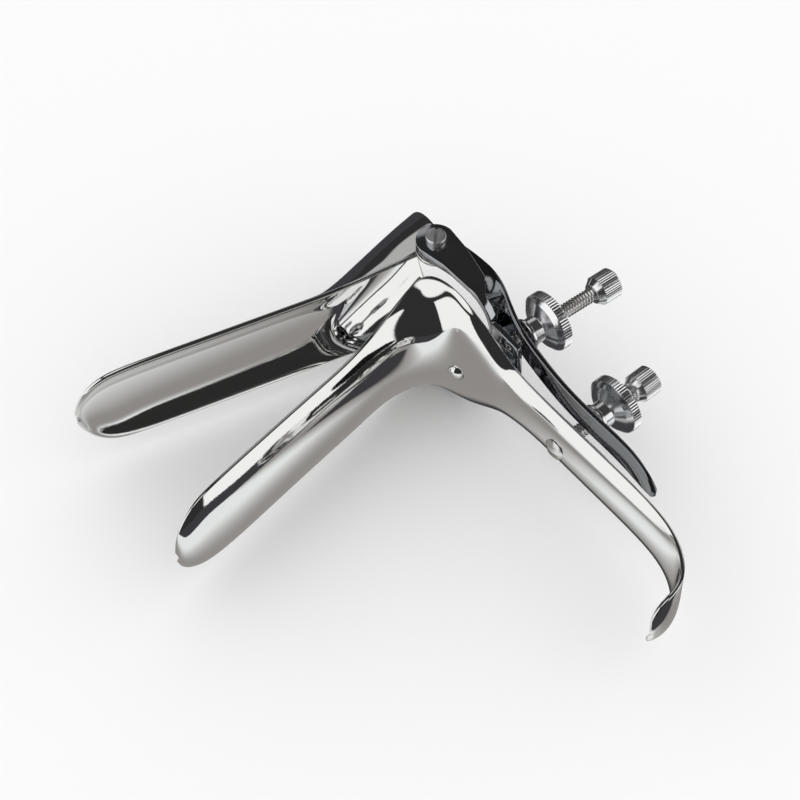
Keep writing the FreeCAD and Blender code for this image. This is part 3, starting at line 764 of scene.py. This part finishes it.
cap("heightCap", heightStart + xWay * heightSize["capAt"], xWay, "handle", "height_cap")

rivet = {"turn": 47.0, "dome": (3.2, 1.6, 0.5), "domeEdge": 0.05, "shank": 1.6, "tail": 2.3, "tailAt": 1.5,
         "end": 2.2}
rivetWay = Vector((math.cos(math.radians(rivet["turn"])), math.sin(math.radians(rivet["turn"])), 0))
rivetSeat = Vector((-15.2, -28.8, 0))  # on the neck's station
rivetTail = [(0, hair), (0, rivet["shank"]), (rivet["tailAt"], rivet["shank"]), (rivet["tailAt"], rivet["tail"]),
             (rivet["end"], rivet["tail"]), (rivet["end"], hair)]
rivetHead = lathe(dome(*rivet["dome"]), rivetSeat, -rivetWay, rivet["domeEdge"])
finishObject("neckRivetHead", [rivetHead, lathe(rivetTail, rivetSeat, rivetWay)], sheetChrome, "handle",
             ["neck_rivet"])

tiltSize = {"start": 2.5, "collar": 4.0, "shank": 38.0, "threadAt": 4.4, "thread": 28.5, "nutAt": 5.5, "capAt": 31.8,
            "eye": 1.3, "eyeBore": 0.73, "eyeRadius": 1.6, "neckAt": 2.3, "neckEnd": 1.2}
tiltCore = [(tiltSize["start"], hair), (tiltSize["start"], screwSize["radius"]),
            (tiltSize["collar"], screwSize["radius"]), (tiltSize["collar"], screwSize["core"]),
            (tiltSize["shank"], screwSize["core"]), (tiltSize["shank"], hair)]
half, bore, around = tiltSize["eye"], tiltSize["eyeBore"], tiltSize["eyeRadius"]
eye = lathe([(-half, bore), (-half, around), (half, around), (half, bore)], tiltStart, (0, 0, 1),
            segments=screwSize["segments"])
neckPlace = Matrix.Translation(tiltStart) @ Matrix.Rotation(tiltTurn, 4, "Z")
neckPlace = neckPlace @ Matrix.Translation((tiltSize["neckAt"], 0, 0))
neck = flat([[(-half, -around), (tiltSize["neckEnd"], -around), (tiltSize["neckEnd"], around), (-half, around)]],
            2 * half, neckPlace)
tiltShank = lathe(tiltCore, tiltStart, tiltWay, screwSize["edge"], screwSize["segments"])
finishObject("tiltScrewShank", [tiltShank, eye, neck], screwChrome, "tilt_screw", ["tilt_screw"])
thread("tiltScrewThread", tiltStart + tiltWay * tiltSize["threadAt"], tiltWay, tiltSize["thread"], "tilt_screw")
nut("tiltNut", tiltStart + tiltWay * tiltSize["nutAt"], tiltWay, "tilt_nut", "tilt_nut", "tilt_washer",
    "tilt_washer")
cap("tiltCap", tiltStart + tiltWay * tiltSize["capAt"], tiltWay, "tilt_screw", "tilt_cap")
print("stage screws and nuts")

# Floor and reflected card


def square(name, half):
    mesh = bpy.data.meshes.new(name)
    mesh.from_pydata([(-half, -half, 0), (half, -half, 0), (half, half, 0), (-half, half, 0)], [], [(0, 1, 2, 3)])
    return linkNew(name, mesh)


ground = {"half": 3.0, "drop": 0.0002, "color": (0.93, 0.93, 0.93, 1), "rough": 0.9}
floor = square("paleFloor", ground["half"])
floor.location.z = -ground["drop"]
floor.visible_glossy = False  # reflections see the card instead
floorFinish = bpy.data.materials.new("floorFinish")
floorFinish.use_nodes = True
floorShader = floorFinish.node_tree.nodes["Principled BSDF"]
feed(floorFinish.node_tree, floorShader.inputs["Base Color"], ground["color"])
feed(floorFinish.node_tree, floorShader.inputs["Roughness"], ground["rough"])
feed(floorFinish.node_tree, floorShader.inputs["Specular IOR Level"], 0.0)
floor.data.materials.append(floorFinish)

# The card is a second floor that only reflections see. It has a painted shadow in grey close to the instrument, is
# white farther out, and has painted shade in dark behind the edge line beside the blades and in front of the lip.
# Lengths in mm.
sheen = {"half": 600.0, "nearShadow": (0.315, 0.30, 0.288), "far": (0.90, 0.92, 0.92), "darkShade": (0.05, 0.05, 0.055),
         "from": 6.0, "to": 42.0, "bladeY": -20.0, "handleX": -4.0, "corner": 6.0, "bladeShare": 0.65,
         "edge": -13.0, "end": 20.0, "soft": 3.0, "tail": (-128.0, -118.0), "rear": (-20.0, 10.0), "front": -172.0}
card = square("paintedShadowCard", sheen["half"] * mm)
card.visible_camera = card.visible_diffuse = card.visible_shadow = False
shadowCardMaterial = bpy.data.materials.new("shadowCardMaterial")
shadowCardMaterial.use_nodes = True
glowTree = shadowCardMaterial.node_tree
glowTree.nodes.clear()
where = put(glowTree, "ShaderNodeTexCoord", out="Object")
px, py = (wire * 1000.0 for wire in put(glowTree, "ShaderNodeSeparateXYZ", Vector=where).beside()[:2])
besideBlade = (py - sheen["bladeY"]).math("ABSOLUTE").math("MAXIMUM", px - sheen["corner"]) * sheen["bladeShare"]
besideHandle = (px - sheen["handleX"]).math("ABSOLUTE").math("MAXIMUM", py - sheen["corner"])
away = besideBlade.math("MINIMUM", besideHandle)
soft = sheen["soft"]
behind = ramp(px, sheen["edge"] - soft, sheen["edge"] + soft) * ramp(py, *sheen["tail"])
beyond = ramp(px, sheen["end"] - soft, sheen["end"] + soft)
rear = ramp(py, *sheen["rear"])
front = ramp(py, sheen["front"] + 2 * soft, sheen["front"] - 2 * soft)
# painted shade: the card turns dark behind the blade edge line, past its end and in front of the lip
paintedShadeMask = (behind * (1.0 - beyond * (1.0 - rear))).math("MAXIMUM", front)
nearShadow, far, darkShade = (put(glowTree, "ShaderNodeEmission", Color=(*sheen[key], 1)) for key in ("nearShadow", "far", "darkShade"))
# painted shadow: grey close to the instrument, fading to white farther out
paintedShadowMix = put(glowTree, "ShaderNodeMixShader", Fac=ramp(away, sheen["from"], sheen["to"]), Shader=nearShadow, Shader_001=far)
shown = put(glowTree, "ShaderNodeMixShader", Fac=paintedShadeMask, Shader=paintedShadowMix, Shader_001=darkShade)
put(glowTree, "ShaderNodeOutputMaterial", Surface=shown)
card.data.materials.append(shadowCardMaterial)

# Studio light

studio = {"overhead": (-0.24, 0.03, 0.96), "outer": 20.0, "inner": 16.0, "base": 0.03, "ambient": 1.05}
softboxes = [  # seen only in reflections: bearing from and to, height from and to, soft edge, level
    (14.0, 62.0, -12.0, 40.0, 1.2, 1.0),
    (-136.0, -70.0, -12.0, 50.0, 1.5, 1.0),
    (84.0, 112.0, 4.0, 32.0, 1.5, 0.5),
    (144.0, 170.0, 16.0, 46.0, 2.0, 0.45),
]
world = bpy.data.worlds.new("studio")
bpy.context.scene.world = world
world.use_nodes = True
sky = world.node_tree
sky.nodes.clear()
gaze = put(sky, "ShaderNodeTexCoord", out="Generated")
wx, wy, wz = put(sky, "ShaderNodeSeparateXYZ", Vector=gaze).beside()
perRadian = 180 / math.pi
bearing = wx.math("ARCTAN2", 0.0 - wy) * perRadian  # from -Y towards +X
height = wz.math("ARCSINE") * perRadian
overhead = put(sky, "ShaderNodeVectorMath", out="Value", setup={"operation": "DOT_PRODUCT"}, Vector=gaze,
               Vector_001=tuple(Vector(studio["overhead"]).normalized()))
coneOuter, coneInner = (math.cos(math.radians(studio[key])) for key in ("outer", "inner"))
glossLevel = ramp(overhead, coneOuter, coneInner) + studio["base"]
for left, right, down, up, soft, strength in softboxes:
    across = between(bearing, left, right, soft)
    glossLevel = glossLevel + across * between(height, down, up, soft) * strength
seen, glossy, clear = (put(sky, "ShaderNodeLightPath", out="Is " + kind + " Ray")
                       for kind in ("Camera", "Glossy", "Transmission"))
level = seen + clear + glossy * glossLevel + (1.0 - seen - glossy - clear) * studio["ambient"]
glow = put(sky, "ShaderNodeBackground", Color=(1, 1, 1, 1), Strength=level)
put(sky, "ShaderNodeOutputWorld", Surface=glow)

# Camera, fitted to the photo: degrees, and mm from the pivot's middle

view = {"azimuth": -39.66, "elevation": 57.24, "distance": 538.8, "across": 10.99, "above": 34.95, "lens": 75.9,
        "sensor": 36, "clip": 0.01}
az = math.radians(view["azimuth"])
el = math.radians(view["elevation"])
rightWay = Vector((math.cos(az), math.sin(az), 0))
looking = Vector((-math.sin(az) * math.cos(el), math.cos(az) * math.cos(el), -math.sin(el)))
above = rightWay.cross(looking)
eyePoint = (-looking * view["distance"] - rightWay * view["across"] - above * view["above"] + zWay * lift) * mm
lens = bpy.data.cameras.new("photoLens")
lens.lens = view["lens"]
lens.sensor_width = view["sensor"]
lens.clip_start = view["clip"]
camera = linkNew("photoCamera", lens)
camera.matrix_world = Matrix.Translation(eyePoint) @ Matrix((rightWay, above, -looking)).transposed().to_4x4()
bpy.context.scene.camera = camera
bpy.context.scene.view_settings.view_transform = "Standard"
print("stage light and camera")
